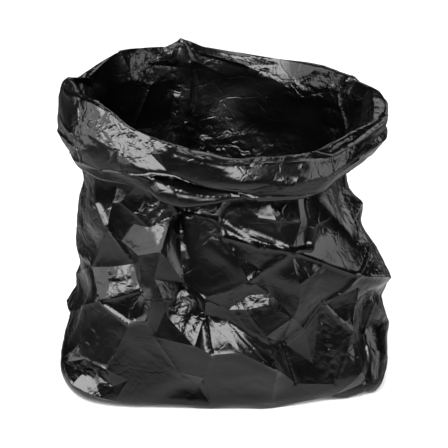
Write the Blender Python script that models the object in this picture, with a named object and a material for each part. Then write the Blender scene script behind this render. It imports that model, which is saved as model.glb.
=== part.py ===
"""An open black bin bag, standing on its base with its mouth turned outward into a cuff.

The bag is one tube of film, welded flat across its bottom, so it is one solid. Units are metres. +Z is up,
-Y is the front, and the origin is the middle of the bag's footprint, on the floor.
"""

import math
from collections import namedtuple

import bmesh
import bpy
from mathutils import Vector

# Driving dimensions
FILM = 0.001  # thickness of the film's solid
BAG_WIDTH = 0.515  # outside, from the left of the foot to the bulge on the right
BAG_DEPTH = 0.460  # outside, over the cuff
BAG_HEIGHT = 0.487  # to the top of the back of the mouth

SIDES = 40  # points round each ring of film

# The bag is drawn as stations along the film. Each is a closed ring, given by how far it reaches to the
# left, right, front and back as shares of half the bag's width and depth, by its height at those four
# places as a share of the bag's height, by how square it is (2 is an ellipse), and by its skew, which
# is how far it runs back for each metre to the right.
Station = namedtuple("Station", "left right front back z_left z_right z_front z_back square skew")

STATIONS = [
    # The base lies flat on the floor.
    Station(0.58, 0.58, 0.30, 0.28, 0.0, 0.0, 0.0, 0.0, 2.2, 0.08),
    Station(0.89, 0.89, 0.57, 0.52, 0.0, 0.0, 0.0, 0.0, 3.2, 0.08),
    # Its edge turns up through the foot, which bulges furthest at the left corner.
    Station(0.965, 0.935, 0.64, 0.58, 0.035, 0.025, 0.02, 0.028, 3.4, 0.08),
    Station(1.0, 0.96, 0.67, 0.62, 0.10, 0.09, 0.08, 0.09, 3.4, 0.07),
    # The wall rises to a bulge on the right, then draws in to the neck under the cuff.
    Station(0.955, 0.97, 0.68, 0.65, 0.19, 0.20, 0.19, 0.20, 3.0, 0.05),
    Station(0.895, 0.975, 0.70, 0.69, 0.30, 0.30, 0.30, 0.31, 2.7, 0.03),
    Station(0.855, 1.0, 0.73, 0.72, 0.39, 0.365, 0.39, 0.39, 2.6, 0.02),
    Station(0.845, 0.885, 0.74, 0.74, 0.49, 0.47, 0.49, 0.49, 2.4, 0.0),
    Station(0.86, 0.775, 0.76, 0.76, 0.60, 0.59, 0.61, 0.61, 2.3, 0.0),
    Station(0.865, 0.735, 0.78, 0.79, 0.71, 0.69, 0.70, 0.72, 2.2, 0.0),
    # Inside the mouth the film widens to the crest, and the mouth comes to a blunt point on each side.
    Station(0.88, 0.82, 0.84, 0.85, 0.83, 0.77, 0.78, 0.83, 2.0, 0.0),
    Station(0.915, 0.88, 0.885, 0.895, 0.95, 0.865, 0.835, 0.92, 1.85, 0.0),
    Station(0.935, 0.915, 0.925, 0.935, 0.985, 0.90, 0.86, 0.95, 1.8, 0.0),
    Station(0.955, 0.945, 0.965, 0.975, 0.95, 0.865, 0.835, 0.92, 1.85, 0.0),
    # The cuff comes down outside, rolls under at its hem, and goes back up to the free edge.
    Station(0.96, 0.955, 1.0, 1.0, 0.87, 0.81, 0.80, 0.86, 1.95, 0.0),
    Station(0.945, 0.925, 0.985, 0.985, 0.80, 0.765, 0.765, 0.79, 2.0, 0.0),
    Station(0.92, 0.885, 0.95, 0.95, 0.765, 0.735, 0.745, 0.755, 2.05, 0.0),
    Station(0.90, 0.855, 0.915, 0.915, 0.795, 0.765, 0.765, 0.785, 2.05, 0.0),
    Station(0.905, 0.865, 0.905, 0.905, 0.86, 0.80, 0.79, 0.84, 2.0, 0.0),
]

BASE_LIFT = FILM / 2  # the middle of the film stands this far above the floor


def ring_point(station, angle):
    """The point of a station's ring at this angle, counted from the right towards the back."""
    across, along = math.cos(angle), math.sin(angle)
    reach_x = (station.right if across > 0 else station.left) * BAG_WIDTH / 2
    reach_y = (station.back if along > 0 else station.front) * BAG_DEPTH / 2
    power = 2 / station.square
    x = math.copysign(reach_x * abs(across) ** power, across)
    y = math.copysign(reach_y * abs(along) ** power, along) + station.skew * x
    level = (station.z_left + station.z_right + station.z_front + station.z_back) / 4
    level += (station.z_right - station.z_left) / 2 * across
    level += (station.z_back - station.z_front) / 2 * along
    level += (station.z_left + station.z_right - station.z_front - station.z_back) / 4 * math.cos(2 * angle)
    return Vector((x, y, level * (BAG_HEIGHT - BASE_LIFT) + BASE_LIFT))


def film_mesh():
    """The film's middle surface: a base, and a band of faces between each ring and the next."""
    sheet = bmesh.new()
    turns = [2 * math.pi * i / SIDES for i in range(SIDES)]
    rings = [[sheet.verts.new(ring_point(station, turn)) for turn in turns] for station in STATIONS]
    sheet.faces.new(reversed(rings[0]))
    for lower, upper in zip(rings, rings[1:]):
        for i in range(SIDES):
            j = (i + 1) % SIDES
            sheet.faces.new((lower[i], lower[j], upper[j], upper[i]))
    mesh = bpy.data.meshes.new("bin_bag")
    sheet.to_mesh(mesh)
    sheet.free()
    return mesh


def centre_footprint(mesh):
    """Moves the mesh sideways so that the middle of its box stands over the origin."""
    for axis in (0, 1):
        places = [vertex.co[axis] for vertex in mesh.vertices]
        middle = (min(places) + max(places)) / 2
        for vertex in mesh.vertices:
            vertex.co[axis] -= middle


def black_film():
    """Glossy black polythene."""
    material = bpy.data.materials.new("black_film")
    material.use_nodes = True
    shader = material.node_tree.nodes["Principled BSDF"]
    shader.inputs["Base Color"].default_value = (0.012, 0.012, 0.012, 1.0)
    shader.inputs["Roughness"].default_value = 0.28
    shader.inputs["Metallic"].default_value = 0.0
    return material


def make_bag():
    """The bag: its film, thickened evenly to both sides."""
    mesh = film_mesh()
    centre_footprint(mesh)
    mesh.shade_smooth()
    mesh.materials.append(black_film())
    bag = bpy.data.objects.new("bin_bag", mesh)
    bpy.context.scene.collection.objects.link(bag)
    thicken = bag.modifiers.new("film thickness", "SOLIDIFY")
    thicken.thickness = FILM
    thicken.offset = 0.0
    thicken.use_even_offset = True
    return bag


for leftover in list(bpy.data.objects):
    bpy.data.objects.remove(leftover)
make_bag()
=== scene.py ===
"""The looks of an open black bin bag: crumpled glossy film, standing on its base with a cuff at its mouth.

The bag is one sheet of film. It is swept through much the same stations as the CAD solid, creased, and then
let settle as film does: it keeps its own length and width, so what doesn't fit the shape buckles. Units are
metres, and millimetres in the tables of pulls, knots, folds and patches. +Z is up, -Y is the front.
"""

import math
from collections import namedtuple

import bpy
import numpy as np
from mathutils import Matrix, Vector
from mathutils.geometry import delaunay_2d_cdt


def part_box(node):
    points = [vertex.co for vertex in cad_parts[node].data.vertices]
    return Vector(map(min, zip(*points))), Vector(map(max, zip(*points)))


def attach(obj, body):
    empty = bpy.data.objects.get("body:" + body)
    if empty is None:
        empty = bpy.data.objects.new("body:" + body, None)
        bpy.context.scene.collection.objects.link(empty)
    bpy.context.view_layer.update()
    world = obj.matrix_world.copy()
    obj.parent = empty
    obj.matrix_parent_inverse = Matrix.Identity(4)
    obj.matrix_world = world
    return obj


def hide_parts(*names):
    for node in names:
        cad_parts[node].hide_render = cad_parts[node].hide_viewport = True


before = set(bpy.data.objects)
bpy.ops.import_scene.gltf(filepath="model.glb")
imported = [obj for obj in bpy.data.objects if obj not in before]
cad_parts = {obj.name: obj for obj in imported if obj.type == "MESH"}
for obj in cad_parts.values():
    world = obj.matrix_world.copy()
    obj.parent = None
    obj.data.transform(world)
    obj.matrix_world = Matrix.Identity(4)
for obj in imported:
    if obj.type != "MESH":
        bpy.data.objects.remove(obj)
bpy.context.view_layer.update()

# Sizes come from the CAD solid's box.
LOW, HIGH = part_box("bin_bag")
HALF_WIDTH = (HIGH.x - LOW.x) / 2
HALF_DEPTH = (HIGH.y - LOW.y) / 2
HEIGHT = HIGH.z - LOW.z

BACK_COLUMNS = 128  # points of the mesh round the back half of the bag
FRONT_COLUMNS = 256  # and round the front half
ROWS = 257  # from the weld to the free edge of the cuff
COLUMNS = BACK_COLUMNS + FRONT_COLUMNS
FINE_ALONG, FINE_ROUND = 1500, 900  # how finely the smooth film is measured: along it, and half round it
SEED = 7
# How close the rows are on the film, by station
ROW_DENSITY = ([0, 2.0, 2.8, 12, 13, 17, 17.6, 19], [0.35, 0.45, 1.0, 1.0, 1.35, 1.35, 0.6, 0.5])

# Stations along the film, much as in the CAD: each is a closed ring, given by how far it reaches to the
# left, right, front and back as shares of the half width and half depth, by its height at those four
# places as a share of the height, by how square it is (2 is an ellipse), and by how far it runs back for
# each metre to the right.
Station = namedtuple("Station", "left right front back z_left z_right z_front z_back square skew")

STATIONS = [
    # The weld is a flat line under the bag, and the base spreads out from it.
    Station(0.75, 0.75, 0.00, 0.00, 0.002, 0.002, 0.002, 0.002, 2.2, 0.08),
    Station(0.80, 0.80, 0.25, 0.23, 0.0, 0.0, 0.0, 0.0, 2.4, 0.08),
    Station(0.89, 0.89, 0.55, 0.51, 0.0, 0.0, 0.0, 0.0, 3.2, 0.08),
    # Its edge turns up through the foot, which bulges furthest at the left corner.
    Station(0.965, 0.935, 0.635, 0.58, 0.030, 0.022, 0.018, 0.025, 3.4, 0.08),
    Station(1.0, 0.96, 0.665, 0.62, 0.10, 0.09, 0.08, 0.09, 3.4, 0.07),
    # The wall rises to a bulge on the right, then draws in to the neck under the cuff.
    Station(0.955, 0.97, 0.68, 0.65, 0.19, 0.20, 0.19, 0.20, 3.0, 0.05),
    Station(0.895, 0.975, 0.70, 0.69, 0.30, 0.30, 0.30, 0.31, 2.7, 0.03),
    Station(0.855, 0.99, 0.73, 0.72, 0.39, 0.365, 0.39, 0.39, 2.6, 0.02),
    Station(0.845, 0.885, 0.74, 0.74, 0.49, 0.47, 0.49, 0.49, 2.4, 0.0),
    Station(0.86, 0.775, 0.725, 0.76, 0.60, 0.59, 0.61, 0.61, 2.3, 0.0),
    Station(0.865, 0.735, 0.715, 0.79, 0.71, 0.69, 0.70, 0.72, 2.2, 0.0),
    # Inside the mouth the film widens to the crest, and the mouth comes to a blunt point on each side.
    Station(0.88, 0.82, 0.815, 0.85, 0.83, 0.77, 0.78, 0.83, 2.0, 0.0),
    Station(0.915, 0.88, 0.885, 0.895, 0.95, 0.865, 0.835, 0.92, 1.85, 0.0),
    Station(0.935, 0.915, 0.925, 0.935, 0.985, 0.90, 0.86, 0.95, 1.8, 0.0),
    Station(0.955, 0.945, 0.965, 0.975, 0.95, 0.865, 0.835, 0.92, 1.85, 0.0),
    # The cuff comes down outside, rolls under at its hem, and goes back up to the free edge.
    Station(0.96, 0.955, 1.0, 1.0, 0.87, 0.81, 0.80, 0.86, 1.95, 0.0),
    Station(0.945, 0.925, 0.985, 0.985, 0.80, 0.765, 0.765, 0.79, 2.0, 0.0),
    Station(0.92, 0.885, 0.95, 0.95, 0.765, 0.735, 0.745, 0.755, 2.05, 0.0),
    Station(0.90, 0.855, 0.915, 0.915, 0.795, 0.765, 0.765, 0.785, 2.05, 0.0),
    Station(0.905, 0.865, 0.905, 0.905, 0.86, 0.80, 0.79, 0.84, 2.0, 0.0),
]
CREST = 13  # the station at the top of the mouth

# Where the bag is pulled out of its even rings, in millimetres: around this place (x, y, z), within this
# reach, and by this much.
PULLS = [
    ((-235, 70, 465), 130, (11, -32, -14)),  # the mouth's left corner is drawn in at the back
    ((-68, 215, 465), 40, (0, 4, 10)),  # a peak in the back of the rim
    ((-150, -125, 475), 115, (0, -4, 28)),  # the crest is high at the front left,
    ((-65, -190, 445), 85, (0, 0, 9)),  # less so in the middle
    ((60, -190, 440), 80, (0, 0, 8)),
    ((165, -120, 445), 85, (0, 0, 14)),  # and at the right
    ((185, -150, 350), 75, (0, 0, 12)),  # where the hem is high too
    ((228, -75, 10), 100, (5, -30, 0)),  # the right corner of the foot
    ((215, -20, 300), 85, (-12, 0, 0)),  # the right of the wall draws in above its bulge,
    ((-245, -60, 145), 65, (14, 0, 0)),  # and the left above the foot
    ((232, 0, 370), 85, (-10, 0, 24)),  # the cuff is shallow at its right end,
    ((-250, 0, 400), 130, (7, 0, 0)),  # and narrower at its left one
    ((0, -180, 340), 150, (0, 6, 0)),  # the neck is drawn in at the front
    ((215, -90, 355), 90, (-3, 0, 18)),  # the hem climbs to the right end,
    ((-40, -215, 365), 110, (0, 0, -8)),  # and hangs lowest left of the middle
    ((255, -20, 70), 90, (-8, 0, 0)),  # the right of the foot is drawn in
    ((-60, 215, 455), 150, (0, 0, 4)),  # the back rim stands a little higher
    ((255, 0, 425), 60, (-7, 0, 0)),  # the right end of the cuff is drawn in
    ((235, -40, 262), 45, (-8, 0, 0)),  # and the neck below it
    ((-245, 0, 255), 55, (8, 0, 0)),  # and the neck on the left
]

# Places on the front of the wall where creases meet, in millimetres: across from the middle, up from the
# floor, and how far the film stands out of its smooth shape there (or in, if negative).
WALL_KNOTS = dict(
    # Under the cuff, from left to right
    neck_edge=(-215, 335, -4), neck_strip=(-188, 374, -3), neck_fold=(-177, 380, 4),
    neck_gully=(-166, 380, -5), neck_patch=(-156, 376, -11), neck_patch_end=(-100, 374, -3),
    neck_hollow=(-78, 356, -24), neck_ridge=(-60, 356, -10), neck_triangle=(-25, 352, -9),
    neck_blade=(22, 356, -3), neck_dish=(60, 352, 1), neck_dish_end=(105, 350, 1),
    neck_post=(122, 345, -4), neck_valley=(160, 340, -14), neck_shoulder=(185, 325, -8),
    # The thin fold down the left, and the gully on its right
    fold=(-176, 318, 7), fold_split=(-162, 285, 8), strip_low=(-207, 262, -2),
    gully=(-160, 320, -1), gully_low=(-150, 265, -2), tall=(-121, 251, 6),
    # The pillow, which faces upward, and the ridge that carries it
    pillow_top_left=(-196, 210, -3), pillow_top_right=(-139, 230, -12),
    pillow_right=(-120, 197, 5), pillow_left=(-173, 173, 10), chin_left=(-170, 170, 10),
    chin=(-134, 146, 12), chin_right=(-110, 160, 12), lens=(-116, 183, 8),
    lens_top=(-98, 220, 8), ridge=(-86, 264, 13), apex=(-76, 306, 0),
    edge_high=(-222, 190, 0), edge_low=(-240, 120, -5),
    # The smooth patch under the cuff
    patch_left=(-149, 323, -1), patch_low=(-132, 293, -5), patch_end=(-108, 292, -2),
    crinkle=(-62, 315, 2),
    # The long hollow, with a small lens in it
    hollow_top=(-66, 305, -20), hollow=(-52, 250, -10), hollow_low=(-28, 190, 3),
    speck_top=(-64, 262, -12), speck_low=(-58, 212, -2),
    # The long soft ridge, and the triangle above it
    long_ridge=(-41, 313, -10), cone=(-9, 307, -1), soft_ridge=(0, 283, 2), soft_ridge_low=(14, 261, 2),
    soft_ridge_end=(36, 219, 6), dent=(48, 238, 0),
    # The dish under the cuff, with a dimple in it, and the bright shelf at its foot
    dish=(45, 312, 3), dish_end=(108, 300, 2), shelf_top=(39, 286, 0), shelf_top_end=(74, 273, 0),
    shelf=(50, 270, 6), star=(94, 261, 7), corner=(122, 262, 3), post=(126, 292, 4),
    dimple_left=(64, 334, 0), dimple_right=(88, 330, 0), dimple=(76, 318, 7), dimple_tip=(77, 294, 2),
    # The right side, its stars and the bulge
    valley=(162, 296, -3), turn=(145, 234, 4), shoulder=(165, 315, -8), shoulder_low=(196, 245, 4),
    side=(212, 235, 5), right_star=(192, 205, 9), bulge=(246, 178, 0), bulge_left=(200, 186, -1),
    crescent=(240, 154, -12), low_star=(149, 167, -7), fan=(188, 120, 9), fan_low=(205, 50, 4),
    crease_top=(226, 138, -14), crease=(224, 84, -10), crease_low=(222, 26, -13),
    right_post=(236, 140, -4), right_post_low=(242, 84, 12),
    # The soft band between the middle star and the one below it
    band=(106, 212, 9), band_low=(99, 160, 8), foot_star=(87, 109, -6), web=(118, 132, 4),
    fan_middle=(133, 70, 0), tuck_left=(105, 44, 6), tuck_right=(166, 36, 6),
    # The two bright slopes low in the middle, and the crumple above them
    slope_top=(-62, 195, -19), slope_left=(-86, 166, 2), slope_middle=(-50, 160, -4),
    slope_foot=(-43, 120, 16), slope_corner=(-18, 106, 17), split=(-28, 158, -4),
    blade_top=(8, 149, -3), slope_right=(22, 112, 17), blade_tip=(76, 80, 20), fork=(0, 128, 9),
    crumple_left=(5, 168, -2), crumple_top=(37, 192, -4), crumple_right=(66, 194, -3),
    crumple_low=(62, 182, 5), crumple_foot=(32, 174, 5), flank=(60, 135, 12),
    # The smooth foot and its soft ridges
    heel=(-118, 105, 6), heel_low=(-66, 67, 0), heel_end=(-38, 42, -2), hip=(-100, 127, 4),
    under_slope=(-30, 60, 8),
    # The pocket at the left of the foot
    pocket_left=(-243, 58, 0), pocket_top=(-206, 76, 0), pocket_rim=(-171, 69, 6),
    pocket_right=(-141, 53, 2), pocket_foot=(-160, 17, 2), pocket_toe=(-214, 24, 2),
    sole_left=(-110, 12, 0), sole=(-20, 10, 5), sole_middle=(70, 10, 8), sole_right=(160, 10, 2),
    pocket_in_left=(-228, 58, -10), pocket_in=(-200, 56, -14), pocket_in_right=(-166, 40, -2),
    flap_top=(-205, 64, -8), flap_left=(-222, 36, 4), flap_right=(-180, 22, 3),
)
# The creases run from knot to knot.
WALL_CREASES = [
    "neck_edge neck_strip neck_fold neck_gully neck_patch",
    "neck_patch neck_patch_end neck_hollow neck_ridge neck_triangle",
    "neck_triangle neck_blade neck_dish neck_dish_end neck_post",
    "neck_post neck_valley neck_shoulder shoulder_low side",
    "neck_fold fold fold_split pillow_top_left pillow_left chin_left chin chin_right lens_top ridge apex",
    "neck_strip strip_low pillow_top_left edge_high",
    "neck_gully gully gully_low pillow_top_right fold_split",
    "pillow_top_left pillow_top_right pillow_right pillow_left",
    "pillow_right lens lens_top",
    "pillow_right tall patch_end apex",
    "chin_right lens",
    "neck_patch patch_left patch_low patch_end crinkle neck_patch_end",
    "neck_hollow hollow_top hollow hollow_low split",
    "hollow_top speck_top speck_low hollow_low",
    "neck_ridge long_ridge cone soft_ridge soft_ridge_low soft_ridge_end",
    "neck_triangle cone neck_blade",
    "cone shelf_top shelf_top_end star corner post neck_post",
    "soft_ridge shelf star dent soft_ridge_low",
    "dimple_left dimple dimple_right dimple_tip dimple_left",
    "dimple dimple_tip",
    "neck_dish dish dish_end neck_dish_end",
    "neck_valley valley corner turn right_star bulge",
    "star turn low_star right_star side",
    "right_star bulge_left low_star fan fan_low tuck_right",
    "bulge_left crescent bulge",
    "crescent crease_top crease crease_low",
    "crescent right_post right_post_low",
    "low_star web foot_star band_low band star",
    "foot_star fan_middle tuck_right",
    "foot_star tuck_left",
    "low_star fan_middle",
    "slope_top slope_middle slope_foot slope_corner slope_right blade_tip blade_top fork slope_corner",
    "slope_top slope_left slope_foot",
    "slope_top split blade_top crumple_left crumple_top",
    "crumple_top crumple_right crumple_low crumple_foot crumple_left",
    "split slope_corner",
    "chin heel heel_low heel_end",
    "chin_right hip heel_low",
    "slope_corner under_slope",
    "pocket_left pocket_top pocket_rim pocket_right pocket_foot pocket_toe pocket_left",
    "pocket_in_left pocket_in pocket_in_right",
    "pocket_foot sole_left sole sole_middle sole_right crease_low",
    "flap_top flap_left flap_right flap_top",
]

# Thin folds that stand on the creases: the knots they run through, how high they are, and how far they
# reach on each side.
WALL_FOLDS = [
    ("neck_fold fold fold_split", 3, 7), ("fold_split pillow_top_left", 2, 6),
    ("fold_split pillow_top_right", 2, 6), ("chin_left chin chin_right", 2, 5),
    ("chin_right lens_top ridge apex", 4, 14), ("pillow_left pillow_right", 2, 4),
    ("neck_post post corner", 4, 10), ("corner star", 2, 6), ("cone shelf star", 2, 6),
    ("neck_blade cone", 3, 8), ("star soft_ridge_end", 3, 10), ("star turn right_star", 2, 7),
    ("right_star low_star", 3, 8), ("low_star foot_star", 3, 9), ("foot_star blade_top", -2, 6),
    ("low_star fan fan_low", 2, 6), ("low_star tuck_right", -2, 5), ("foot_star tuck_left", -2, 5),
    ("blade_top blade_tip", 2, 5), ("split slope_corner", 2, 5), ("long_ridge cone soft_ridge_low", 2, 8),
    ("dimple dimple_tip", 2, 4), ("right_star side shoulder_low", 2, 5), ("right_star bulge", 2, 5),
    ("apex hollow_top", 2, 6), ("heel_low hip", 2, 8), ("heel_end heel", 1, 6),
    ("shelf_top shelf_top_end star corner", 3, 9), ("soft_ridge shelf", 3, 9),
]

# The same for the front of the cuff: across, down the film from the crest, and out.
CUFF_KNOTS = dict(
    # The left end, with a knot of creases where the cuff is tucked
    tip=(-240, 2, -2), tip_low=(-240, 40, 2), tip_foot=(-236, 80, 8), hem_tip=(-225, 100, -3),
    end_crease=(-203, 8, -3), end_fold=(-200, 34, -1), end_flat=(-222, 30, -2),
    tuck=(-210, 76, -9), tuck_high=(-212, 52, 4), tuck_right=(-192, 68, 4), tuck_low=(-198, 90, 2),
    # The band that faces upward, and the face under it
    band_start=(-178, 9, 2), band_crest=(-164, 2, -3), band_middle=(-134, 0, -3), band_end=(-104, 0, -2),
    band_left=(-187, 44, 3), band_low=(-146, 43, 6), band_foot=(-119, 47, 6), band_right=(-101, 24, 0),
    band_corner=(-104, 43, 4), dark_face=(-160, 66, -2),
    # The hem, from left to right
    hem_left=(-172, 90, -3), hem_a=(-138, 69, 3), hem_b=(-103, 54, 3), hem_c=(-67, 45, -5),
    hem_d=(-22, 45, -6), hem_e=(20, 50, -5), hem_f=(38, 58, 2), hem_g=(87, 61, 1),
    hem_h=(140, 67, 0), hem_i=(178, 65, 0), hem_j=(213, 57, -1),
    # The layer that hangs out below it, behind a gap
    gap_start=(-106, 60, -8), gap=(-67, 56, -24), gap_middle=(-22, 56, -26), gap_end=(18, 58, -20),
    layer_start=(-108, 70, -6), layer=(-67, 62, -3), layer_middle=(-22, 62, -6), layer_end=(22, 64, -6),
    # The smooth face in the middle
    ruffle=(-88, 20, 6), face=(-65, 9, 7), face_middle=(-23, 8, 10), face_right=(8, 9, 10),
    crest_a=(-65, -1, 1), crest_b=(-22, -1, 1), face_low=(-80, 38, -2),
    # The bright lip at the crest and the face under it
    lip_left=(12, 0, 1), lip_crest=(62, 0, -7), lip_right=(106, 15, 9), lip_low=(84, 15, 7),
    lip_middle=(44, 12, 7), lobe=(58, 44, -4), lobe_high=(76, 38, -2), lobe_low=(90, 50, 2),
    # Long ribs that run out to the right end
    rib_start=(120, 1, -3), rib=(150, 20, 5), rib_middle=(191, 18, 5), rib_end=(232, 8, 4),
    groove=(145, 34, 4), groove_middle=(190, 32, 0), groove_end=(235, 20, -3),
    under_rib=(150, 48, 1), under_middle=(192, 46, 1), under_end=(236, 34, 4),
    crest_right=(165, -1, -4), crest_end=(215, 0, -3),
)
CUFF_CREASES = [
    "tip tip_low tip_foot hem_tip", "tip end_crease band_start", "end_crease end_fold tuck_high tuck",
    "end_fold band_left", "tip_low end_flat tuck_high", "tuck tip_foot", "tuck tuck_right band_left",
    "tuck tuck_low hem_left", "tuck hem_tip", "band_start band_crest band_middle band_end crest_a crest_b",
    "crest_b lip_left lip_crest rib_start crest_right crest_end",
    "band_start band_left band_low band_foot band_corner band_right band_end",
    "band_low dark_face hem_left", "tuck_right dark_face hem_a", "band_foot hem_a",
    "hem_tip hem_left hem_a hem_b hem_c hem_d hem_e hem_f hem_g hem_h hem_i hem_j",
    "hem_a gap_start gap gap_middle gap_end hem_f",
    "gap_start layer_start layer layer_middle layer_end hem_f",
    "band_right ruffle face face_middle face_right lip_middle lip_low lip_right", "ruffle face_low hem_c",
    "band_corner face_low", "lip_left lip_middle", "lip_crest lip_right",
    "lip_low lobe_high lobe lobe_low lip_right", "lobe hem_g", "rib_start lip_right rib rib_middle rib_end",
    "groove groove_middle groove_end", "under_rib under_middle under_end",
    "lip_right groove under_rib hem_h", "rib_middle crest_end",
]
CUFF_FOLDS = [
    ("end_crease end_fold", 2, 4), ("tuck tip_foot", 2, 4), ("tuck tuck_high", 2, 4),
    ("tuck tuck_low", 2, 4), ("band_low dark_face", 1, 4), ("rib_start rib rib_middle rib_end", 2, 4),
    ("under_rib under_middle", 2, 4),
    ("hem_left hem_a hem_b hem_c hem_d hem_e hem_f hem_g hem_h hem_i", 1, 4),
]

# And for the inside of the back: across, down the film from the crest, and towards the mouth's middle.
LINING_KNOTS = dict(
    peak=(-70, 0, 3), blade=(-55, 30, 4), blade_low=(-56, 118, -4), blade_end=(-54, 220, -4),
    pit=(-74, 45, -4), pit_low=(-84, 130, -14), pit_end=(-90, 230, -4),
    shade=(-40, 60, -4), shade_low=(-34, 150, -12),
    corner=(-160, 6, 2), corner_fold=(-146, 50, 6), corner_low=(-140, 130, -6), corner_end=(-136, 230, 2),
    left_pit=(-172, 60, -4), left_low=(-178, 150, -10),
    ruffle=(-135, 8, -1), ruffle_low=(-128, 30, 3), ruffle_crest=(-96, 6, -2), ruffle_end=(-90, 27, 3),
    ruffle_foot=(-118, 64, 3),
    line=(-44, 14, 2), line_end=(36, 24, 3), line_low=(0, 45, 0),
    gather=(44, 8, -2), gather_low=(52, 20, 2), gather_foot=(77, 36, 1),
    oval=(84, 14, -2), oval_high=(112, 6, 0), oval_low=(108, 34, 0), oval_end=(138, 16, 2),
    spray=(147, 50, 0), spray_low=(125, 56, 0), last=(182, 30, 2), last_high=(165, 10, -1),
    drape_middle=(20, 120, -11), drape_side_middle=(80, 125, -12), fold_middle=(140, 125, -10),
    drape=(20, 60, -3), drape_low=(10, 220, -6), drape_side=(75, 70, -5), drape_side_low=(80, 220, -4),
    fold=(140, 70, -3), fold_low=(140, 230, 3), string=(184, 50, 2), string_low=(186, 110, -2),
    right_pit=(170, 80, -8), right_pit_low=(165, 200, -4), right_fold=(210, 40, 2),
)
LINING_CREASES = [
    "peak blade blade_low blade_end", "peak pit pit_low pit_end", "blade shade shade_low",
    "corner corner_fold corner_low corner_end", "left_pit left_low", "corner ruffle ruffle_crest peak",
    "ruffle ruffle_low ruffle_end ruffle_crest", "ruffle_low ruffle_foot", "corner_fold ruffle_foot",
    "peak line line_end gather_low gather_foot oval_low", "line_end line_low", "gather gather_low",
    "gather oval oval_end last_high last", "oval_high oval_end", "oval_low oval_end spray",
    "oval_low spray_low spray last", "drape drape_middle drape_low",
    "drape_side drape_side_middle drape_side_low", "last string string_low", "fold fold_middle fold_low",
    "right_pit right_pit_low", "last right_fold",
]
LINING_FOLDS = [
    ("peak blade blade_low", 2, 4), ("peak line line_end", 2, 4), ("last string string_low", 2, 4),
    ("ruffle_foot corner_low", 2, 4),
]

# Crinkled patches of each surface: across, along, how far they reach both ways, and how deep they are.
PATCHES = {
    "wall": [
        (-200, 300, 25, 70, 1.1), (-160, 200, 34, 25, 1.0), (-90, 325, 40, 30, 0.9),
        (-30, 325, 20, 22, 1.2), (-55, 165, 30, 40, 0.9), (35, 180, 35, 20, 1.2), (225, 210, 25, 60, 1.2),
        (170, 100, 40, 60, 0.6), (110, 190, 20, 60, 0.4), (-200, 45, 45, 30, 0.4),
    ],
    "cuff": [
        (-150, 22, 56, 26, 1.4), (-82, 12, 26, 12, 0.9), (60, 8, 50, 9, 0.9), (-212, 70, 26, 26, 1.4),
        (78, 44, 16, 10, 1.1), (190, 30, 60, 36, 0.6),
    ],
    "lining": [
        (-115, 20, 38, 22, 1.4), (-130, 55, 30, 22, 1.1), (-78, 90, 16, 40, 1.1), (62, 22, 30, 18, 1.4),
        (130, 45, 34, 22, 1.4), (170, 22, 24, 18, 1.3), (205, 50, 36, 50, 1.2), (0, 18, 50, 10, 0.7),
    ],
}

# How far the knots stand out, as shares of what their tables say
WALL_DEPTH, CUFF_DEPTH, LINING_DEPTH = 1.35, 1.0, 1.2

# Random corners of creases, where no table has any
LINING_END = 7.5  # the station below which the lining has them too
RANDOM_ROWS = 20  # rows of the mesh from one ring of them to the next
RANDOM_ROUND = 20  # how many go round the bag
RANDOM_DEPTH = 0.015  # how far out or in they stand at most
RANDOM_GAP = 8  # how far they stay from the knots, in points of the mesh
MARGIN = 80  # how many columns past its ends the grid's corners are repeated, because it goes round

# The edges that are laid on the mesh as creases
RIDGE, VALLEY = 0.25, 0.45  # by how much the slope falls there at least, or else climbs,
ON_FOLD = 0.2  # or how near to a thin fold they are, in points of the mesh
SHIFT_PASSES = 12  # how often the mesh evens out between them
SHARP_ANGLE = 11  # degrees from which a crease is shaded as sharp

# What lies between the creases
PITCH = 0.003  # about the distance from one point of the mesh to the next
BULGE = 0.05  # how far a facet bulges in, as a share of its size
CALM_PASSES = 30  # how much the shape softens away from creases
NEAR_PASSES, NEAR_GAIN = 4, 1.6  # and how wide a band at each crease stays as it is
SWELL = (24, 22, 0.0055)  # gentle swells: rows and columns across, and how high,
SWELL_PASSES = 24  # and how much they are softened
CRINKLES = [(5, 1.0), (2.6, 0.5)]  # crinkles: points across, and how deep as a share of what a patch says
CRINKLE_SHARE = 0.6  # how much of that depth is in the mesh
PLAIN_CRINKLE = 0.001  # how deep they are where no table has creases,
INNER_CRINKLE = 0.8  # and low inside the bag, as a share of that
RAISED = 0.03  # how high above the floor the film has its full relief

# How firmly the film is held to its creased shape as it settles: a share of the distance in each step
HOLD_RANDOM = 0.001  # where no table has creases,
HOLD_FACET, HOLD_CREASE = 0.0004, 0.03  # where one has, between its creases and on them,
HOLD_LINING = 0.01  # and this much more on the lining
SPARE = 0.008  # how much wider the film is than that shape where no table has creases,
SPARE_CALM = 0.001  # and where one has
SPARE_ALONG = 0.8  # how much longer it is, as a share of that
UNEVEN = 0.0004  # how uneven the film is when it starts to settle
PUSH = 0.5  # how hard the film resists a push, as a share of how hard it resists a pull
KEPT_SPEED = 0.85  # how much of its speed the film keeps from step to step
# It settles on every fourth point, on every second and on all: the spacing, how many steps, how many times
# as firmly it is held, and how stiff it is to bend.
LEVELS = ((4, 600, 1, 0.6), (2, 250, 2, 0.5), (1, 60, 4, 0.5))

# ---- The smooth film

def on_smooth_curve(table, places):
    """Rows of the table at these places between its rows, on smooth curves through them."""
    last = len(table) - 1
    first = np.clip(np.floor(places).astype(int), 0, last - 1)
    share = (places - first)[:, None]
    p0, p1, p2, p3 = (table[np.clip(first + step, 0, last)] for step in (-1, 0, 1, 2))
    bend = 2 * p0 - 5 * p1 + 4 * p2 - p3
    twist = 3 * (p1 - p2) + p3 - p0
    return p1 + share * (p2 - p0 + share * (bend + share * twist)) / 2


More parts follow.
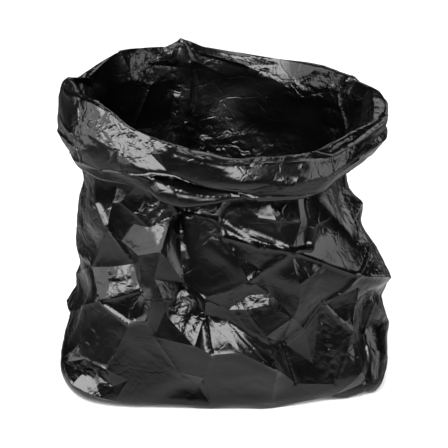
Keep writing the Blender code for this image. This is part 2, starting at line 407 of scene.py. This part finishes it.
def ring_points(rows, angle):
    """Points of these station rows at these angles, counted from the right towards the back."""
    left, right, front, back, z_left, z_right, z_front, z_back, square, skew = rows.T[:, :, None]
    across, along = np.cos(angle)[None], np.sin(angle)[None]
    power = 2 / square
    x = np.where(across > 0, right, left) * HALF_WIDTH * np.sign(across) * np.abs(across) ** power
    y = np.where(along > 0, back, front) * HALF_DEPTH * np.sign(along) * np.abs(along) ** power + skew * x
    level = (z_left + z_right + z_front + z_back) / 4
    level = level + (z_right - z_left) / 2 * across + (z_back - z_front) / 2 * along
    level = level + (z_left + z_right - z_front - z_back) / 4 * np.cos(2 * angle)[None]
    return np.stack([x, y, np.maximum(level, 0) * HEIGHT], axis=-1)


def length_along(points, axis):
    """Distance from the first point, along this axis of the grid."""
    steps = np.linalg.norm(np.diff(points, axis=axis), axis=-1)
    start = np.zeros_like(np.take(steps, [0], axis=axis))
    return np.concatenate([start, np.cumsum(steps, axis=axis)], axis=axis)


def row_places():
    """Where the mesh's rows lie along the stations: evenly on the film, but closer where it shows more."""
    places = np.linspace(0, len(STATIONS) - 1, FINE_ALONG)
    around = np.linspace(0, 2 * math.pi, 17)[:-1]
    film = length_along(ring_points(on_smooth_curve(np.array(STATIONS), places), around), 0).mean(axis=1)
    density = np.interp(places, *ROW_DENSITY)
    weight = np.concatenate([[0], np.cumsum(np.diff(film) * (density[1:] + density[:-1]) / 2)])
    return np.interp(np.linspace(0, weight[-1], ROWS), weight, places)


def smooth_film(places):
    """The grid of the film's points, with the same share of each ring's length between its columns."""
    rows = on_smooth_curve(np.array(STATIONS), places)
    grid = np.zeros((len(places), COLUMNS, 3))
    halves = ((0, BACK_COLUMNS, 0.0), (BACK_COLUMNS, FRONT_COLUMNS, math.pi))
    for start, count, turn in halves:
        fine = ring_points(rows, np.linspace(turn, turn + math.pi, FINE_ROUND))
        reach = length_along(fine, 1)
        for i in range(len(places)):
            wanted = np.linspace(0, reach[i, -1], count + 1)[:-1]
            for axis in range(3):
                grid[i, start:start + count, axis] = np.interp(wanted, reach[i], fine[i, :, axis])
    return grid


def rise(value, low, high):
    """0 below low, 1 above high, and smooth between."""
    share = np.clip((value - low) / (high - low), 0, 1)
    return share * share * (3 - 2 * share)


def pulled(grid):
    """The grid with its corners and peak pulled out of the even rings."""
    for place, reach, pull in PULLS:
        far = np.linalg.norm(grid * 1000 - place, axis=-1)
        grid = grid + rise(-far, -reach, 0)[..., None] * (np.array(pull) / 1000)
    return grid


def normals_of(grid):
    """Unit normals of the grid, out of the bag on its wall and so inward on the folded cuff."""
    round_it = np.roll(grid, -1, axis=1) - np.roll(grid, 1, axis=1)
    along = np.gradient(grid, axis=0)
    normals = np.cross(round_it, along)
    return normals / np.maximum(np.linalg.norm(normals, axis=-1, keepdims=True), 1e-12)


def step_length(grid, down, across):
    """The distance from each point to the one this many rows and columns on."""
    return np.linalg.norm(np.roll(grid, -across, axis=1)[down:] - grid[:len(grid) - down], axis=-1)


def read_grid(field, column, row):
    """The field's values between its points; its columns go round."""
    i = np.clip(np.floor(row).astype(int), 0, len(field) - 2)
    j = np.floor(column).astype(int)
    down, over = row - i, column - j
    if field.ndim == 3:
        down, over = down[..., None], over[..., None]
    j, k = j % COLUMNS, (j + 1) % COLUMNS
    return (field[i, j] * (1 - over) + field[i, k] * over) * (1 - down) + (
        field[i + 1, j] * (1 - over) + field[i + 1, k] * over) * down


def read_nearest(field, spots):
    """The field at the grid's points nearest to these places, given as columns and rows."""
    column, row = spots.round().astype(int).T
    return field[np.clip(row, 0, ROWS - 1), column % COLUMNS]


def soften(field, passes):
    """The field with each value drawn towards its neighbours'."""
    for _ in range(passes):
        near = np.roll(field, 1, axis=1) + np.roll(field, -1, axis=1)
        padded = np.pad(field, ((1, 1), (0, 0)), mode="edge")
        field = (2 * field + near + padded[:-2] + padded[2:]) / 6
    return field


# ---- Facets and creases

def facets(points, heights, links):
    """Flat facets between these points: their corners, edges and faces, and the height of each corner."""
    corners, edges, faces, origins = delaunay_2d_cdt([Vector(p) for p in points], links, [], 0, 1e-5)[:4]
    levels = np.array([np.mean([heights[i] for i in ids]) if ids else np.nan for ids in origins])
    corners = np.array([tuple(c) for c in corners])
    for i in np.where(np.isnan(levels))[0]:
        far = np.linalg.norm(corners - corners[i], axis=1)
        far[np.isnan(levels)] = np.inf
        near = np.argsort(far)[:2]
        levels[i] = np.average(levels[near], weights=1 / far[near])
    return corners, edges, faces, levels


def facet_levels(corners, faces, levels, column, row, bulges=None):
    """The heights of the facets at these places of the grid. A bulge is a share of the facet's own size."""
    field = np.zeros(column.shape)
    rows, columns = field.shape
    for number, face in enumerate(faces):
        a, b, c = corners[list(face)]
        low = np.maximum(np.floor(np.minimum(np.minimum(a, b), c)).astype(int) - 1, 0)
        high = np.minimum(np.ceil(np.maximum(np.maximum(a, b), c)).astype(int) + 2, (columns, rows))
        area = (b[0] - a[0]) * (c[1] - a[1]) - (c[0] - a[0]) * (b[1] - a[1])
        if (high <= low).any() or abs(area) < 1e-9:
            continue
        window = (slice(low[1], high[1]), slice(low[0], high[0]))
        x, y = column[window], row[window]
        to_b = ((x - a[0]) * (c[1] - a[1]) - (c[0] - a[0]) * (y - a[1])) / area
        to_c = ((b[0] - a[0]) * (y - a[1]) - (x - a[0]) * (b[1] - a[1])) / area
        inside = (to_b >= -1e-6) & (to_c >= -1e-6) & (to_b + to_c <= 1 + 1e-6)
        level = levels[face[0]] * (1 - to_b - to_c) + levels[face[1]] * to_b + levels[face[2]] * to_c
        if bulges is not None:
            # 27 times the three shares is 1 in the facet's middle.
            depth = bulges[number] * math.sqrt(abs(area) / 2) * PITCH
            level += depth * 27 * (1 - to_b - to_c) * to_b * to_c
        field[window][inside] = level[inside]
    return field


def grid_places(wanted, across, along, region):
    """Where on the grid these places of a surface lie, as a column and a row between the points."""
    found = []
    for x, y in wanted:
        far = np.where(region, np.hypot(across - x, along - y), np.inf)
        i, j = np.unravel_index(np.argmin(far), far.shape)
        i = min(max(i, 1), ROWS - 2)
        right = (j + 1) % COLUMNS
        by_column = [(field[i, right] - field[i, j - 1]) / 2 for field in (across, along)]
        by_row = [(field[i + 1, j] - field[i - 1, j]) / 2 for field in (across, along)]
        missing = np.array([x - across[i, j], y - along[i, j]])
        step = np.linalg.lstsq(np.array([by_column, by_row]).T, missing, rcond=1e-3)[0]
        found.append((j + min(max(step[0], -0.5), 0.5), i + min(max(step[1], -0.5), 0.5)))
    return found


def chain(start, end):
    """The grid's points along a line, one to each row or column, with the line's place beside each."""
    way = end - start
    axis = 0 if abs(way[0]) >= abs(way[1]) else 1
    if way[axis] < 0:
        start, end, way = end, start, -way
    steps = np.arange(round(start[axis]), round(end[axis]) + 1)
    if len(steps) < 2:
        return [], []
    line = np.empty((len(steps), 2))
    line[:, axis] = steps
    line[:, 1 - axis] = start[1 - axis] + (steps - start[axis]) * way[1 - axis] / way[axis]
    line[0], line[-1] = start, end
    return np.round(line).astype(int), line


def turns_at(corners, edges, faces, levels, pitch):
    """How sharply the facets turn at each edge: above 0 on a ridge, and below 0 in a valley."""
    beside = {}
    for face in faces:
        a, b, c = corners[list(face)] * pitch
        climb = levels[face[1]] - levels[face[0]], levels[face[2]] - levels[face[0]]
        slope = np.linalg.lstsq(np.array([b - a, c - a]), np.array(climb), rcond=1e-6)[0]
        for one, other in ((0, 1), (1, 2), (2, 0)):
            beside.setdefault(frozenset((face[one], face[other])), []).append((slope, (a + b + c) / 3))
    turns = np.zeros(len(edges))
    for number, edge in enumerate(edges):
        both = beside.get(frozenset(edge), [])
        if len(both) == 2:
            fall = both[0][0] - both[1][0]
            turns[number] = math.copysign(np.linalg.norm(fall), fall @ (both[1][1] - both[0][1]))
    return turns


def lay_creases(corners, edges):
    """Moves the grid's points onto the creases. Gives each point's place on the old grid, and the pairs."""
    row, column = np.indices((ROWS, COLUMNS)).astype(float)
    place = np.stack([column, row], axis=-1)
    taken = np.zeros((ROWS, COLUMNS), bool)
    pairs = []
    for corner in corners[sorted({end for edge in edges for end in edge})]:
        j, i = np.round(corner).astype(int)
        if 0 <= i < ROWS and 0 <= j < COLUMNS and not taken[i, j]:
            place[i, j] = corner
            taken[i, j] = True
    for start, end in edges:
        points, line = chain(corners[start], corners[end])
        for (j, i), spot in zip(points, line):
            if 0 <= i < ROWS and 0 <= j < COLUMNS and not taken[i, j]:
                place[i, j] = spot
                taken[i, j] = True
        for (j, i), (k, h) in zip(points[:-1], points[1:]):
            if 0 <= min(i, h) and max(i, h) < ROWS and 0 <= min(j, k) and max(j, k) < COLUMNS:
                pairs.append((i, j, h, k))
    place[0, :, 1], place[-1, :, 1] = 0, ROWS - 1
    shift = place - np.stack([column, row], axis=-1)
    for _ in range(SHIFT_PASSES):
        near = np.roll(shift, 1, axis=1) + np.roll(shift, -1, axis=1)
        padded = np.pad(shift, ((1, 1), (0, 0), (0, 0)), mode="edge")
        shift = np.where(taken[..., None], shift, (near + padded[:-2] + padded[2:]) / 4)
    return shift[..., 0] + column, np.clip(shift[..., 1] + row, 0, ROWS - 1), np.array(pairs)


def distance_to(line, column, row, pitch):
    """How far these places of the grid are from the line."""
    near = np.full(column.shape, np.inf)
    for one, other in zip(line[:-1], line[1:]):
        way = np.subtract(other, one)
        share = np.clip(((column - one[0]) * way[0] + (row - one[1]) * way[1]) / (way @ way), 0, 1)
        near = np.minimum(near, np.hypot((column - one[0] - share * way[0]) * pitch[0],
                                         (row - one[1] - share * way[1]) * pitch[1]))
    return near


def fold_levels(folds, column, row, pitch):
    """Thin folds along lines of the grid: each falls off on both sides in a hollow slope."""
    field = np.zeros(column.shape)
    for line, height, reach in folds:
        near = distance_to(line, column, row, pitch) * 1000
        field += height / 1000 * np.clip(1 - near / reach, 0, 1) ** 2
    return field


def crumple(rng, cell_rows, cell_columns, depth):
    """Random facets over the whole film, about this many rows and columns across."""
    down = int(ROWS / cell_rows) + 2
    across = max(int(COLUMNS / cell_columns), 3)
    step = COLUMNS / across
    points, heights = [], []
    for i in range(-1, down):
        shift = rng.random()
        for j in range(across):
            y = (i + rng.uniform(-0.1, 0.9)) * cell_rows
            x = (j + shift + rng.uniform(-0.45, 0.45)) % across * step
            level = rng.uniform(-depth, depth)
            for turn in (-COLUMNS, 0, COLUMNS):
                if -3 * step < x + turn < COLUMNS + 3 * step:
                    points.append((x + turn, y))
                    heights.append(level)
    corners, _, faces, levels = facets(points, heights, [])
    row, column = np.indices((ROWS, COLUMNS)).astype(float)
    return facet_levels(corners, faces, levels, column, row)


# ---- The creased shape

def surfaces(places, smooth):
    """Each surface's share of every point, and its two coordinates there: across, and along the film.

    A surface fades out between two stations at each of its ends, and as the film turns away from its side.
    """
    crest = int(np.argmin(np.abs(places[:, 0] - CREST)))
    reach = length_along(smooth, 0)
    reach = reach - reach[crest]
    toward = -smooth[..., 1] / HALF_DEPTH
    wall = rise(-normals_of(smooth)[..., 1], 0.1, 0.4) * rise(-places, -11, -10)
    cuff = rise(toward, 0.05, 0.4) * rise(places, 12.7, 13.1) * rise(-places, -18, -17)
    lining = rise(-toward, 0.1, 0.4) * rise(places, 6, 8) * rise(-places, -13.3, -13)
    x = smooth[..., 0]
    return {"wall": (wall, x, smooth[..., 2]), "cuff": (cuff, x, reach), "lining": (lining, x, -reach)}


def random_corners(rng, known, authored, smooth):
    """Corners of creases, spaced round the bag where no table says any: their points and heights."""
    points, heights = [], []
    for i in range(-1, ROWS // RANDOM_ROWS + 2):
        for j in range(RANDOM_ROUND):
            y = (i + rng.uniform(-0.4, 0.4)) * RANDOM_ROWS
            turn = (j + i % 2 / 2 + rng.uniform(-0.4, 0.4)) / RANDOM_ROUND % 1
            x = 2 * turn * BACK_COLUMNS if turn < 0.5 else BACK_COLUMNS + (2 * turn - 1) * FRONT_COLUMNS
            level = rng.uniform(-1, 0.9) * RANDOM_DEPTH
            spot = min(max(round(y), 0), ROWS - 1), int(x) % COLUMNS
            if not authored[spot] and np.hypot(*(known - (x, y)).T).min() > RANDOM_GAP:
                points.append((x, y))
                heights.append(level * rise(smooth[spot][2], 0.0, RAISED))
    return points, heights


def plan_creases(rng, places, smooth, shares):
    """Every crease of the film on its grid: the points, their heights, the links and the thin folds."""
    front = np.indices((ROWS, COLUMNS))[1] >= BACK_COLUMNS
    # The normals point inward on the cuff, and out of the bag behind its lining.
    tables = {
        "wall": (front & (places > 1.5) & (places < 11),
                 WALL_KNOTS, WALL_CREASES, WALL_FOLDS, WALL_DEPTH),
        "cuff": (front & (places > CREST - 0.2) & (places < 18),
                 CUFF_KNOTS, CUFF_CREASES, CUFF_FOLDS, -CUFF_DEPTH),
        "lining": (~front & (places > 5) & (places < CREST + 0.2),
                   LINING_KNOTS, LINING_CREASES, LINING_FOLDS, -LINING_DEPTH),
    }
    points, heights, links, folds = [], [], [], []
    authored = np.zeros((ROWS, COLUMNS), bool)
    for name, (share, across, along) in shares.items():
        region, knots, creases, thin, depth = tables[name]
        authored |= (share > 0.5) & ((name != "lining") | (places > LINING_END))
        number = {knot: len(points) + i for i, knot in enumerate(knots)}
        wanted = [(x / 1000, y / 1000) for x, y, out in knots.values()]
        points += grid_places(wanted, across, along, region)
        heights += [depth * out / 1000 for x, y, out in knots.values()]
        for line in creases:
            line = [number[knot] for knot in line.split()]
            links += zip(line[:-1], line[1:])
        for line, height, reach in thin:
            line = [points[number[knot]] for knot in line.split()]
            folds.append((line, math.copysign(height, depth * height), reach))
    more_points, more_heights = random_corners(rng, np.array(points), authored, smooth)
    points += more_points
    heights += more_heights
    count = len(points)
    for turn in (-COLUMNS, COLUMNS):
        for i in range(count):
            if -MARGIN < points[i][0] + turn < COLUMNS + MARGIN:
                points.append((points[i][0] + turn, points[i][1]))
                heights.append(heights[i])
    return points, heights, links, folds


def film_plan(rng, places, smooth):
    """The creased shape that the film is held round, and what the settling needs to know of it."""
    shares = surfaces(places, smooth)
    points, heights, links, folds = plan_creases(rng, places, smooth, shares)
    corners, edges, faces, levels = facets(points, heights, links)
    pitch = [np.median(step_length(smooth, *step)[:, BACK_COLUMNS:]) for step in ((0, 1), (1, 0))]
    facing = np.where(shares["cuff"][0] + shares["lining"][0] > 0.5, -1, 1)
    middle = np.array([corners[list(edge)].mean(axis=0) for edge in edges])
    folded = np.min([distance_to(fold[0], *middle.T, (1, 1)) for fold in folds], axis=0) < ON_FOLD
    turns = turns_at(corners, edges, faces, levels, pitch) * read_nearest(facing, middle)
    column, row, pairs = lay_creases(corners, np.array(edges)[(turns > RIDGE) | (turns < -VALLEY) | folded])
    smooth, places = read_grid(smooth, column, row), read_grid(places, column, row)
    raised = rise(smooth[..., 2], 0.0, RAISED)
    crinkle = sum(crumple(rng, size, size, depth) for size, depth in CRINKLES)
    swell = soften(crumple(rng, *SWELL), SWELL_PASSES)
    crease = np.zeros((ROWS, COLUMNS))
    crease[pairs[:, 0], pairs[:, 1]] = crease[pairs[:, 2], pairs[:, 3]] = 1
    near = np.clip(NEAR_GAIN * soften(crease, NEAR_PASSES), 0, 1)
    authored, crinkled = 0, 0
    shares = surfaces(places, smooth)
    for name, (share, across, along) in shares.items():
        authored = authored + share
        for x, y, half_across, half_along, depth in PATCHES[name]:
            far = np.hypot((across * 1000 - x) / half_across, (along * 1000 - y) / half_along)
            crinkled = crinkled + share * depth / 1000 * rise(-far, -1.2, -0.7)
    authored = np.clip(authored, 0, 1)
    inner = shares["lining"][0]
    below = inner * rise(-places, -11, -9)
    crinkled = crinkled + (1 - authored + INNER_CRINKLE * below) * PLAIN_CRINKLE
    # Facets bulge less on the cuff, inside the bag and near the floor.
    free = (1 - 0.5 * shares["cuff"][0]) * (1 - 0.75 * inner)
    free = free * (0.4 + 0.6 * rise(smooth[..., 2], 0.08, 0.13)) * facing
    middle = np.array([corners[list(face)].mean(axis=0) for face in faces])
    bulges = BULGE * read_nearest(free, middle) * rng.normal(-1, 0.6, len(faces))
    out = facet_levels(corners, faces, levels, column, row, bulges)
    calm = soften(out, CALM_PASSES)
    out = calm + (out - calm) * near + fold_levels(folds, column, row, pitch)
    out = out + (CRINKLE_SHARE * crinkled * crinkle + swell) * raised
    hold = HOLD_RANDOM + (HOLD_FACET - HOLD_RANDOM) * authored
    hold = hold + (HOLD_CREASE - HOLD_FACET) * authored * near + HOLD_LINING * inner
    spare = (SPARE + (SPARE_CALM - SPARE) * authored) * (1 - inner) * raised
    normals = normals_of(smooth)
    return smooth + normals * out[..., None], normals, hold, spare, crease, crinkled, pairs


# ---- Settling

def film_links(aim, spare_round, spare_along, bend, creased):
    """Pairs of points of the film and the length to keep between them, in sets that share no point."""
    rows, columns = aim.shape[:2]
    index = np.arange(rows * columns).reshape(rows, columns)
    line, column = np.indices((rows, columns))
    round_it = step_length(aim, 0, 1) * (1 + spare_round)
    along = step_length(aim, 1, 0) * (1 + spare_along[:-1])
    links = []
    for down, across in ((0, 1), (1, 0), (1, 1), (1, -1), (0, 2), (2, 0)):
        start = slice(0, rows - down)
        first, last = index[start], np.roll(index, -across, axis=1)[down:]
        stiff = np.ones(first.shape)
        push = PUSH
        if (down, across) == (0, 1):
            length = round_it
        elif (down, across) == (1, 0):
            length = along
        elif down and across:
            length = step_length(aim, down, across) * (1 + (spare_round + spare_along)[start] / 2)
        elif across:
            length = round_it + np.roll(round_it, -1, axis=1)
            stiff = bend * (1 - np.roll(creased, -1, axis=1))
            push = 1
        else:
            length = along[:-1] + along[1:]
            stiff = bend * (1 - creased[1:-1])
            push = 1
        phase = ((line // down) if down else (column // across))[start] % 2
        for turn in (0, 1):
            chosen = phase == turn
            links.append((first[chosen], last[chosen], length[chosen], 0.5 * stiff[chosen], push))
    return links


def settle(film, target, links, hold, steps):
    """Lets the film find its lengths round a target shape, which draws it by a share of the distance."""
    shape = film.shape
    film, target = film.reshape(-1, 3), target.reshape(-1, 3)
    hold = hold.reshape(-1, 1)
    speed = np.zeros_like(film)
    for _ in range(steps):
        before = film.copy()
        film = film + KEPT_SPEED * speed
        film += hold * (target - film)
        for first, last, length, stiff, push in links:
            start, end = film[first], film[last]
            way = end - start
            reach = np.sqrt(np.einsum("ij,ij->i", way, way))
            stretch = 1 - length / np.maximum(reach, 1e-9)
            move = way * (stiff * np.where(stretch < 0, push, 1) * stretch)[:, None]
            film[first] = start + move
            film[last] = end - move
        film[:, 2] = np.maximum(film[:, 2], 0.0)
        speed = film - before
    return film.reshape(shape)


def finer(coarse):
    """The grid with a row and a column set between each two."""
    rows = np.empty((2 * len(coarse) - 1, *coarse.shape[1:]))
    rows[0::2] = coarse
    rows[1::2] = (coarse[1:] + coarse[:-1]) / 2
    grid = np.empty((len(rows), 2 * rows.shape[1], *rows.shape[2:]))
    grid[:, 0::2] = rows
    grid[:, 1::2] = (rows + np.roll(rows, -1, axis=1)) / 2
    return grid


def settled(rng, target, normals, hold, spare, crease):
    """The film after it has settled round its target, first coarsely and then finely."""
    change = 0
    for step, steps, firm, bend in LEVELS:
        aim, play, sharp = (field[::step, ::step] for field in (target, spare, crease))
        start = aim + change
        start = start + normals[::step, ::step] * rng.normal(0, UNEVEN * step, start.shape[:2])[..., None]
        links = film_links(aim, play, SPARE_ALONG * play, bend, sharp)
        film = settle(start, aim, links, firm * hold[::step, ::step], steps)
        change = film - aim
        if step > 1:
            change = finer(change)
    return film


# ---- The bag

def bag_mesh(grid, pairs):
    """A mesh of the grid: a tube, with its first row welded flat, and sharp where it is creased."""
    index = np.arange(ROWS * COLUMNS).reshape(ROWS, COLUMNS)
    a, b = index[:-1], np.roll(index[:-1], -1, axis=1)
    c, d = np.roll(index[1:], -1, axis=1), index[1:]
    corners = [grid.reshape(-1, 3)[part] for part in (a, b, c, d)]
    diagonals = [np.linalg.norm(corners[i] - corners[i + 2], axis=-1) for i in (0, 1)]
    slant = diagonals[0] < diagonals[1]
    i, j, h, k = pairs[(pairs[:, 0] != pairs[:, 2]) & (pairs[:, 1] != pairs[:, 3])].T
    slant[np.minimum(i, h), np.minimum(j, k)] = (h > i) == (k > j)
    first = np.where(slant[..., None], np.stack([a, b, c], -1), np.stack([a, b, d], -1))
    second = np.where(slant[..., None], np.stack([a, c, d], -1), np.stack([b, c, d], -1))
    faces = np.concatenate([first.reshape(-1, 3), second.reshape(-1, 3)])
    mesh = bpy.data.meshes.new("bin_bag_film")
    mesh.from_pydata(grid.reshape(-1, 3).tolist(), [], faces.tolist())
    mesh.update()
    mesh.shade_smooth()
    mesh.set_sharp_from_angle(angle=math.radians(SHARP_ANGLE))
    ends = np.empty(2 * len(mesh.edges), dtype=np.int64)
    mesh.edges.foreach_get("vertices", ends)
    ends = np.sort(ends.reshape(-1, 2), axis=1)
    i, j, h, k = pairs.T
    creases = np.sort(np.stack([index[i, j], index[h, k]], axis=1), axis=1)
    creased = np.isin(ends[:, 0] * index.size + ends[:, 1], creases[:, 0] * index.size + creases[:, 1])
    sharp = np.empty(len(mesh.edges), dtype=bool)
    mesh.edges.foreach_get("use_edge_sharp", sharp)
    mesh.edges.foreach_set("use_edge_sharp", sharp & creased)
    return mesh


def new_node(tree, kind, inputs, **settings):
    """A new shader node. Each input is given by a value, or by the output that it's linked to."""
    node = tree.nodes.new("ShaderNode" + kind)
    for name, value in settings.items():
        setattr(node, name, value)
    for name, value in inputs.items():
        if isinstance(value, bpy.types.NodeSocket):
            tree.links.new(value, node.inputs[name])
        else:
            node.inputs[name].default_value = value
    return node


def film_material():
    """Thin glossy black polythene, finely crinkled where the mesh's attribute says so."""
    material = bpy.data.materials.new("black_film")
    material.use_nodes = True
    tree = material.node_tree
    shader = tree.nodes["Principled BSDF"]
    shader.inputs["Base Color"].default_value = (0.0008, 0.0008, 0.0009, 1)
    shader.inputs["IOR"].default_value = 1.51
    place = new_node(tree, "TexCoord", {}).outputs["Object"]

    haze = new_node(tree, "TexNoise", {"Vector": place, "Scale": 14, "Detail": 5})
    roughness = new_node(tree, "MapRange", {
        "Value": haze.outputs["Fac"], "From Min": 0.35, "From Max": 0.65, "To Min": 0.16, "To Max": 0.26,
    })
    tree.links.new(roughness.outputs["Result"], shader.inputs["Roughness"])

    # Warped pyramids, whose straight edges are the finest creases
    warp = new_node(tree, "TexNoise", {"Vector": place, "Scale": 25}).outputs["Color"]
    steps = {0: warp, 1: (0.05, 0.05, 0.05), 2: place}
    warped = new_node(tree, "VectorMath", steps, operation="MULTIPLY_ADD").outputs["Vector"]
    wide, narrow = (new_node(tree, "TexVoronoi", {"Vector": warped, "Scale": scale}, distance="MANHATTAN")
                    for scale in (45, 110))
    steps = {0: wide.outputs["Distance"], 1: 2.4, 2: narrow.outputs["Distance"]}
    pyramids = new_node(tree, "Math", steps, operation="MULTIPLY_ADD")
    where = new_node(tree, "Attribute", {}, attribute_name="crinkled").outputs["Fac"]
    strength = new_node(tree, "MapRange", {"Value": where, "From Max": 1.4, "To Min": 0.05, "To Max": 0.45})

    # A net of thin marks where the film was once folded
    net = new_node(tree, "TexVoronoi", {"Vector": warped, "Scale": 22}, feature="DISTANCE_TO_EDGE")
    line = new_node(tree, "MapRange", {"Value": net.outputs["Distance"], "From Max": 0.05})
    marks = new_node(tree, "Bump", {"Height": line.outputs["Result"], "Strength": 0.35, "Distance": 0.0005})
    bump = new_node(tree, "Bump", {
        "Normal": marks.outputs["Normal"], "Height": pyramids.outputs["Value"],
        "Strength": strength.outputs["Result"], "Distance": 0.0012,
    })
    tree.links.new(bump.outputs["Normal"], shader.inputs["Normal"])
    return material


def make_bag():
    """The bag's film as one mesh."""
    rng = np.random.default_rng(SEED)
    places = row_places()
    smooth = pulled(smooth_film(places))
    places = np.repeat(places[:, None], COLUMNS, axis=1)
    grid, normals, hold, spare, crease, crinkled, pairs = film_plan(rng, places, smooth)
    grid = settled(rng, grid, normals, hold, spare, crease)
    mesh = bag_mesh(grid, pairs)
    attribute = mesh.attributes.new("crinkled", "FLOAT", "POINT")
    attribute.data.foreach_set("value", (crinkled * 1000).ravel())
    mesh.materials.append(film_material())
    bag = bpy.data.objects.new("bin_bag_film", mesh)
    bpy.context.scene.collection.objects.link(bag)
    return bag


# ---- The studio

TARGET = Vector((0, 0, 0.24))  # where the camera and the softboxes look
CAMERA_ELEVATION = 21
CAMERA_DISTANCE = 2.2
SOFTBOX_DISTANCE = 2.6

Softbox = namedtuple("Softbox", "name azimuth elevation width height radiance")
SOFTBOXES = [
    Softbox("key_softbox", -18, 34, 3.8, 1.4, 10),
    Softbox("left_softbox", -80, 15, 2.5, 1.9, 2.4),
    Softbox("right_softbox", 70, 10, 1.0, 2.4, 2.6),
    Softbox("rear_softbox", 165, 50, 2.4, 1.2, 2),
    Softbox("far_right_softbox", 134, 10, 1.1, 0.9, 1.2),
    Softbox("top_softbox", 10, 82, 1.4, 1.4, 4),
]

# What the film reflects of the room, by the sine of how high it looks: the floor's light falls off with
# distance.
ROOM_GLEAM = [
    (-1.0, 0.9), (-0.57, 0.75), (-0.36, 0.3), (-0.19, 0.06), (0.0, 0.008), (0.2, 0.006), (1.0, 0.006),
]
ROOM_LIGHT = 0.9


def make_floor():
    """A plain pale floor, which reflections pass through."""
    bpy.ops.mesh.primitive_plane_add(size=16, location=(0, 0, -0.0005))
    floor = bpy.context.object
    floor.name = "floor"
    material = bpy.data.materials.new("pale_floor")
    material.use_nodes = True
    shader = material.node_tree.nodes["Principled BSDF"]
    shader.inputs["Base Color"].default_value = (0.82, 0.82, 0.82, 1)
    shader.inputs["Roughness"].default_value = 0.9
    floor.data.materials.append(material)
    floor.visible_glossy = False  # make_world puts a floor in the reflections


def make_world():
    """A pale, even room. Reflections see a floor that is bright near the bag, and dark above it."""
    world = bpy.data.worlds.new("studio")
    bpy.context.scene.world = world
    world.use_nodes = True
    tree = world.node_tree
    way = new_node(tree, "TexCoord", {}).outputs["Generated"]
    height = new_node(tree, "SeparateXYZ", {0: way}).outputs["Z"]
    share = new_node(tree, "MapRange", {"Value": height, "From Min": -1})
    ramp = new_node(tree, "ValToRGB", {"Fac": share.outputs["Result"]})
    stops = ramp.color_ramp.elements
    while len(stops) < len(ROOM_GLEAM):
        stops.new(0.5)
    for stop, (sine, level) in zip(stops, ROOM_GLEAM):
        stop.position = (sine + 1) / 2
        stop.color = (level, level, level, 1)
    gleam = new_node(tree, "Background", {"Color": ramp.outputs["Color"]})
    room = tree.nodes["Background"]
    room.inputs["Color"].default_value = (ROOM_LIGHT, ROOM_LIGHT, ROOM_LIGHT, 1)
    glossy = new_node(tree, "LightPath", {}).outputs["Is Glossy Ray"]
    rooms = {"Fac": glossy, 1: room.outputs["Background"], 2: gleam.outputs["Background"]}
    mix = new_node(tree, "MixShader", rooms)
    tree.links.new(mix.outputs["Shader"], tree.nodes["World Output"].inputs["Surface"])


def place_round(name, data, azimuth, elevation, distance):
    """A light or camera round the bag, aimed at it. Azimuth 0 is in front of it, and 90 on its right."""
    turn, lift = math.radians(azimuth), math.radians(elevation)
    way = Vector((math.sin(turn) * math.cos(lift), -math.cos(turn) * math.cos(lift), math.sin(lift)))
    thing = bpy.data.objects.new(name, data)
    thing.location = way * distance + TARGET
    thing.rotation_euler = way.to_track_quat("Z", "Y").to_euler()
    bpy.context.scene.collection.objects.link(thing)
    return thing


def make_softboxes():
    """The lights round the bag, each given by how bright its face is."""
    for box in SOFTBOXES:
        light = bpy.data.lights.new(box.name, "AREA")
        light.shape = "RECTANGLE"
        light.size, light.size_y = box.width, box.height
        light.energy = box.radiance * math.pi * box.width * box.height
        place_round(box.name, light, box.azimuth, box.elevation, SOFTBOX_DISTANCE)


def make_camera():
    """A camera in front of the bag, looking down on it a little."""
    data = bpy.data.cameras.new("camera")
    data.sensor_width = 36
    data.lens = 115
    bpy.context.scene.camera = place_round("camera", data, 0, CAMERA_ELEVATION, CAMERA_DISTANCE)


make_camera()
make_floor()
make_world()
make_softboxes()
bpy.context.scene.view_settings.view_transform = "Standard"
bag = make_bag()
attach(bag, "root")
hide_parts("bin_bag")
